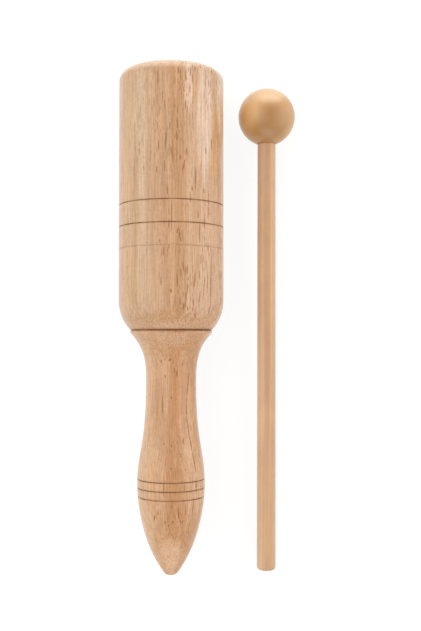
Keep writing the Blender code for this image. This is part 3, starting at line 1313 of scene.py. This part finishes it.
@dataclass
class Beater:
    """The ball and the stick glued in it, which lies sloping down to its butt."""

    # Ball and stick; length is from the ball's centre, and the stick ends a little past it
    ball_radius: float = 12.5 * MM
    length: float = 201.5 * MM
    head_radius: float = 4.0 * MM
    butt_radius: float = 4.2 * MM
    butt_rounding: float = 1.3 * MM
    end_past_centre: float = 3.0 * MM
    end_chamfer: float = 0.5 * MM

    # Hole in the ball, whose edge bends at these shares of the edge, inwards and upwards
    hole_edge: float = 0.3 * MM
    hole_bend: Point = (0.7, 0.3)
    hole_gap: float = 0.04 * MM

    # Steps round the beater, and along the parts of its outlines
    steps: int = 144
    ball_steps: int = 72
    shank_steps: int = 60
    butt_steps: int = 12
    face_steps: int = 4
    axis: Axis = field(init=False)

    def __post_init__(self) -> None:
        """Find the ball's centre and the slope from the head's node."""
        low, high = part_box("beater_head")
        run = self.length - self.butt_rounding
        rise = self.ball_radius - self.butt_rounding
        flat = self.butt_radius - self.butt_rounding
        slope = math.asin(rise / math.hypot(run, flat)) - math.atan2(flat, run)
        ball_y = high.y - self.ball_radius * math.cos(slope)
        self.axis = Axis(Vector(((low.x + high.x) / 2.0, ball_y, self.ball_radius)), slope)

    @property
    def entry(self) -> float:
        """Station at which the stick enters the ball."""
        return -math.sqrt(self.ball_radius ** 2 - self.head_radius ** 2)

    def ball_outline(self) -> Outline:
        """The ball from its top round to the hole and up to the hole's end.

        Returns:
            The half outline.
        """
        hole = self.head_radius + self.hole_gap
        rim = hole + self.hole_edge
        angle = -math.acos(rim / self.ball_radius)
        ball = arc((0.0, 0.0), self.ball_radius, math.pi / 2.0, angle, self.ball_steps)
        mouth = ball[-1][1]
        inward, upward = (share * self.hole_edge for share in self.hole_bend)
        edge = [(rim - inward, mouth + upward), (hole, mouth + self.hole_edge)]
        top = self.end_past_centre + self.hole_gap
        return [(0.0, self.ball_radius)] + ball[1:] + edge + [(hole, top), (0.0, top)]

    def stick_outline(self) -> Outline:
        """The stick from its end inside the ball down to its rounded butt.

        Returns:
            The half outline.
        """
        centre = (self.butt_radius - self.butt_rounding, self.butt_rounding - self.length)
        butt = arc(centre, self.butt_rounding, 0.0, -math.pi / 2.0, self.butt_steps)
        head = [
            (0.0, self.end_past_centre),
            (self.head_radius - self.end_chamfer, self.end_past_centre),
            (self.head_radius, self.end_past_centre - self.end_chamfer),
        ]
        shank = straight((self.head_radius, self.entry), butt[0], self.shank_steps)
        face = straight(butt[-1], (0.0, -self.length), self.face_steps)
        return head + shank + butt[1:] + face[1:]

    def ball_finish(self) -> SatinBeaterWood:
        """Finish of the ball, with painted shade round its hole and patches of painted light and
        shade over it.

        Returns:
            The finish.
        """
        entry = self.entry * PER_METRE
        return SatinBeaterWood(
            name="satin_ball_wood",
            axis=self.axis,
            light_colour=(0.580, 0.312, 0.115),
            dark_colour=(0.505, 0.258, 0.082),
            # Painted light and shade: a paler left side where the block shades the ball, painted
            # shade in the middle, and a painted highlight on top
            patches=(
                TonePatch(-12.5, 0.5, 10.5, 13.0, (0.73, 0.450, 0.190), 0.85),
                TonePatch(1.8, -4.2, 9.0, 11.0, (0.36, 0.165, 0.040), 0.80),
                TonePatch(2.6, -1.2, 3.6, 4.4, (0.36, 0.175, 0.044), 0.45),
                TonePatch(0.3, 9.5, 11.0, 6.5, (0.77, 0.500, 0.270), 0.85),
            ),
            # Painted shade round the hole, where the stick meets the ball
            darkened=(Step(entry + 0.6, entry - 0.7, 0.0, 0.6),),
            streak_pitch=6.0,
            streak_reach=0.06,
            pore_strength=0.10,
            coat=0.9,
            coat_roughness=0.36,
        )

    def stick_finish(self) -> SatinBeaterWood:
        """Finish of the stick, with painted shade where it enters the ball, darker at its butt, and
        patches of painted light and shade.

        Returns:
            The finish.
        """
        entry = self.entry * PER_METRE
        butt = -self.length * PER_METRE
        return SatinBeaterWood(
            name="satin_stick_wood",
            axis=self.axis,
            light_colour=(0.64, 0.395, 0.215),
            dark_colour=(0.56, 0.320, 0.162),
            # Painted light and shade: a paler strip along the left side, where the block shades the
            # stick, and painted shade along the top
            patches=(
                TonePatch(-3.2, -100.0, 2.1, 220.0, (0.76, 0.520, 0.320), 0.80),
                TonePatch(0.2, -60.0, 1.9, 130.0, (0.50, 0.275, 0.140), 0.70),
            ),
            darkened=(
                # Painted shade where the stick enters the ball
                Step(entry - 0.5, entry + 0.15, 0.0, 0.7),
                Step(butt + 1.5, butt + 0.2, 0.0, 0.35),
            ),
            streak_pitch=1.5,
            streak_reach=0.012,
        )

    def build(self) -> None:
        """Turn the ball and the stick, dress them and put them in their nodes' places."""
        lathe = Lathe(self.axis, self.steps)
        ball = lathe.turn("ball_turned", self.ball_outline())
        ball.data.materials.append(self.ball_finish().material())
        dress(ball, Body.BEATER, "beater_head")
        stick = lathe.turn("stick_turned", self.stick_outline())
        stick.data.materials.append(self.stick_finish().material())
        dress(stick, Body.BEATER, "beater_stick")


@dataclass(frozen=True)
class Softbox:
    """A soft rectangular lamp that faces the set."""

    name: str
    place: tuple[float, float, float]
    width: float
    height: float
    power: float

    def hang(self) -> None:
        """Add the lamp to the scene."""
        lamp = bpy.data.lights.new(self.name, "AREA")
        lamp.shape = "RECTANGLE"
        lamp.size = self.width
        lamp.size_y = self.height
        lamp.energy = self.power
        holder = bpy.data.objects.new(self.name, lamp)
        holder.location = self.place
        holder.rotation_euler = (-Vector(self.place)).to_track_quat("-Z", "Y").to_euler()
        bpy.context.scene.collection.objects.link(holder)


@dataclass
class Studio:
    """White floor, plain light and the photograph's camera."""

    # Floor; beyond the shadow's reach its glow takes over, in full at the spread times the reach
    floor_size: float = 6.0
    floor_drop: float = 0.0002
    floor_colour: tuple[float, ...] = (0.9, 0.9, 0.9, 1.0)
    floor_glow: float = 0.8
    glow_strength: float = 1.08
    shadow_reach: float = 0.22
    shadow_spread: float = 2.5

    # Sky
    white: tuple[float, ...] = (1.0, 1.0, 1.0, 1.0)
    sky_light: float = 0.29

    # Camera
    camera_place: tuple[float, float, float] = (0.00099, -0.00576, 0.39935)
    camera_tilt: float = math.radians(1.5)
    lens: float = 50.0
    film: float = 36.0
    clip_start: float = 0.01

    # Lamps, each with its name, place, width, height and power
    lamps: tuple[Softbox, ...] = (
        Softbox("top_softbox", (0.0, 0.76, 0.37), 1.3, 0.72, 4.7),
        Softbox("left_softbox", (-0.52, 0.0, 0.70), 1.0, 0.9, 4.4),
        Softbox("right_softbox", (0.74, 0.0, 0.42), 1.0, 0.9, 4.0),
        Softbox("near_softbox", (0.0, -0.80, 0.22), 0.9, 0.5, 2.4),
    )

    def seen_directly(self, nodes: Nodes) -> Socket:
        """1 for rays from the camera, off a gloss or through glass, 0 for the rest.

        Args:
            nodes: The tree that the nodes are added to.

        Returns:
            The value's socket.
        """
        rays = nodes.add("ShaderNodeLightPath").outputs
        seen = nodes.larger(rays["Is Camera Ray"], rays["Is Glossy Ray"])
        return nodes.larger(seen, rays["Is Transmission Ray"])

    def light_world(self) -> None:
        """White where it is seen, and a plain grey sky as light."""
        world = bpy.data.worlds.new("plain_sky")
        world.use_nodes = True
        nodes = Nodes(world.node_tree)
        background = nodes.tree.nodes["Background"]
        background.inputs["Color"].default_value = self.white
        level = nodes.fade(self.seen_directly(nodes), Step(0.0, 1.0, self.sky_light, 1.0))
        nodes.plug(background.inputs["Strength"], level)
        bpy.context.scene.world = world

    def floor_material(self) -> bpy.types.Material:
        """Glowing white where it is seen, with some matt white near the set for its faint shadow.

        Returns:
            The material.
        """
        material = bpy.data.materials.new("white_floor")
        material.use_nodes = True
        nodes = Nodes(material.node_tree)
        nodes.tree.nodes.remove(nodes.tree.nodes["Principled BSDF"])
        matt = nodes.add("ShaderNodeBsdfDiffuse")
        matt.inputs["Color"].default_value = self.floor_colour
        glow = nodes.add("ShaderNodeEmission")
        glow.inputs["Strength"].default_value = self.glow_strength
        away = nodes.add("ShaderNodeVectorMath")
        away.operation = "LENGTH"
        nodes.plug(away.inputs[0], nodes.add("ShaderNodeTexCoord").outputs["Object"])
        edge = Step(self.shadow_reach, self.shadow_spread * self.shadow_reach, self.floor_glow, 1.0)
        share = nodes.times(self.seen_directly(nodes), nodes.fade(away.outputs["Value"], edge))
        mix = nodes.add("ShaderNodeMixShader")
        for socket, value in zip(mix.inputs, (share, matt.outputs[0], glow.outputs[0])):
            nodes.plug(socket, value)
        nodes.plug(nodes.tree.nodes["Material Output"].inputs["Surface"], mix.outputs[0])
        return material

    def lay_floor(self) -> None:
        """Add the floor just under the set."""
        bpy.ops.object.select_all(action="DESELECT")
        place = (0.0, 0.0, -self.floor_drop)
        bpy.ops.mesh.primitive_plane_add(size=self.floor_size, location=place)
        floor = bpy.context.object
        floor.name = "floor"
        floor.data.materials.append(self.floor_material())

    def set_camera(self) -> None:
        """Add the camera where the photograph was taken from."""
        camera = bpy.data.cameras.new("camera")
        camera.lens = self.lens
        camera.sensor_width = self.film
        camera.clip_start = self.clip_start
        holder = bpy.data.objects.new("camera", camera)
        holder.location = self.camera_place
        holder.rotation_euler = (self.camera_tilt, 0.0, 0.0)
        bpy.context.scene.collection.objects.link(holder)
        bpy.context.scene.camera = holder

    def build(self) -> None:
        """Set up floor, light, camera and view."""
        bpy.context.scene.view_settings.view_transform = "Standard"
        self.light_world()
        self.lay_floor()
        for lamp in self.lamps:
            lamp.hang()
        self.set_camera()
        log.info("studio: %d lamps", len(self.lamps))


def main() -> None:
    """Build the set."""
    logging.basicConfig(level=logging.INFO, format="%(name)s %(message)s")
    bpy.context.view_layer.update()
    Studio().build()
    ToneBlock().build()
    Beater().build()


if __name__ == "__main__":
    main()
